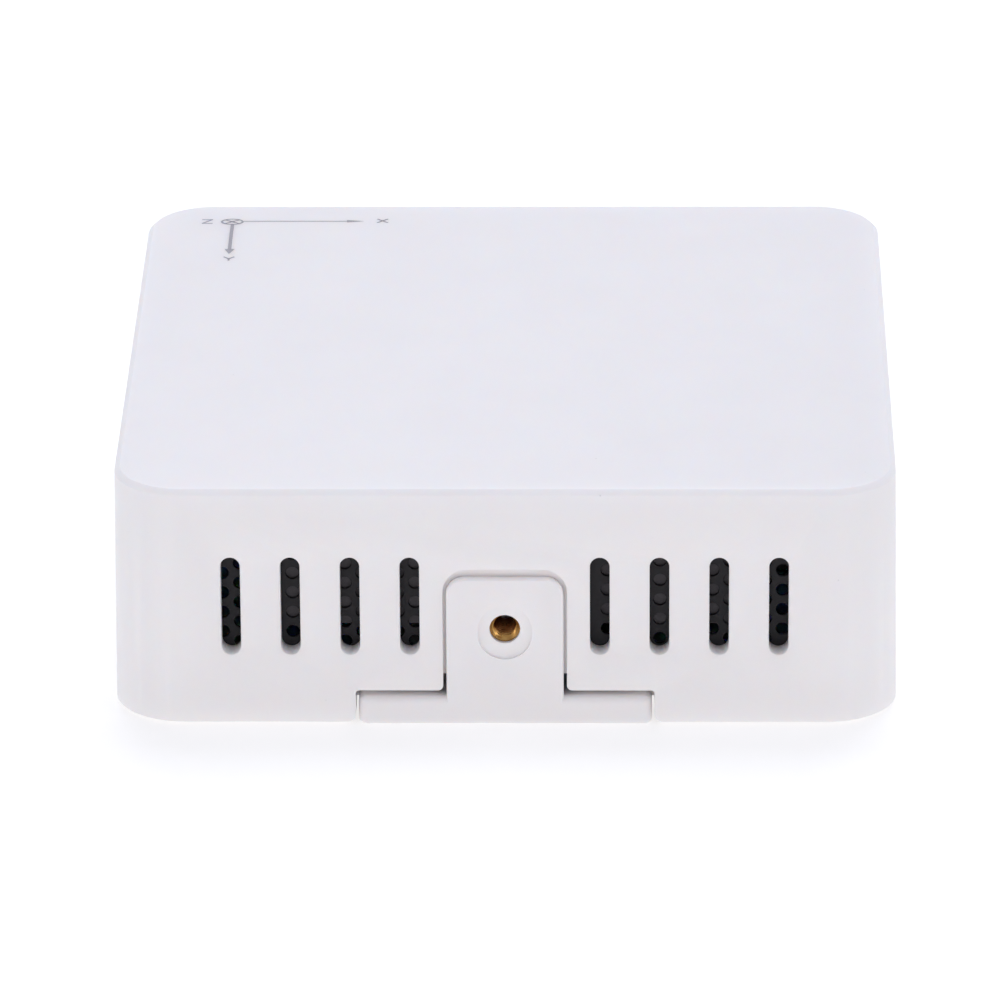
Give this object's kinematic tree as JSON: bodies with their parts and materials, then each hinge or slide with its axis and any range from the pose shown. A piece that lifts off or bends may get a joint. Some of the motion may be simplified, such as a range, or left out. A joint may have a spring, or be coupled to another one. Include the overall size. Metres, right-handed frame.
{
  "type": "tilt sensor",
  "caption": "Square wall-mounted tilt sensor: a vented moulded casing that slides onto a T-shaped wall bracket and is locked by one screw.",
  "frame": {"origin": "middle of the plane that the bracket's back rests on, under the middle of the casing", "axes": "+Z out of the plain top face away from the wall, -Y out of the side with the vents and the bracket's tab, +X to the right when that side is faced"},
  "size_m": [0.088, 0.088, 0.0284],
  "materials": {
    "casing": "fine-textured moulded plastic",
    "bracket": "fine-textured moulded plastic",
    "cover": "satin moulded plastic",
    "steel_screws": "zinc-plated steel",
    "brass_insert": "turned brass",
    "vent_screen": "dark grey perforated sheet",
    "vent_membrane": "pale breather membrane",
    "board": "green solder resist on glass-fibre board",
    "chips": "black moulded package",
    "cell": "printed plastic sleeve on a metal can",
    "holder": "black moulded plastic",
    "spring_metal": "nickel-plated spring steel",
    "radio_board": "blue solder resist on a small board",
    "shield": "tinned sheet",
    "capacitor": "sleeved aluminium can",
    "lamp": "clear moulded lens",
    "header": "black moulded strip",
    "pins": "gold-plated pins",
    "button": "moulded plunger",
    "axis_print": "grey pad-printed ink"
  },
  "bodies": {
    "casing": {"front_housing": "casing", "rear_cover": "cover", "cover_screws": "steel_screws", "brass_insert": "brass_insert", "left_vent_screen": "vent_screen", "right_vent_screen": "vent_screen", "left_vent_membrane": "vent_membrane", "right_vent_membrane": "vent_membrane", "main_board": "board", "lithium_cell": "cell", "cell_holder": "holder", "positive_contact": "spring_metal", "negative_contact": "spring_metal", "radio_module": "radio_board", "radio_shield": "shield", "radio_antenna": "spring_metal", "microcontroller": "chips", "tilt_sensor_chip": "chips", "climate_sensor": "chips", "crystal_can": "shield", "status_led": "lamp", "supply_capacitor": "capacitor", "programming_header": "header", "programming_pins": "pins", "reset_switch_body": "header"},
    "bracket": {"mounting_bracket": "bracket"},
    "reset_button": {"reset_button": "button"}
  },
  "joints": [
    {"name": "bracket_slide", "type": "slide", "parent": "casing", "child": "bracket", "axis": [0, -1, 0], "range_m": [0, 0.078]},
    {"name": "reset_button_press", "type": "slide", "parent": "casing", "child": "reset_button", "axis": [0, 0, 1], "range_m": [0, 0.00025], "stiffness_N_per_m": 5000}
  ]
}
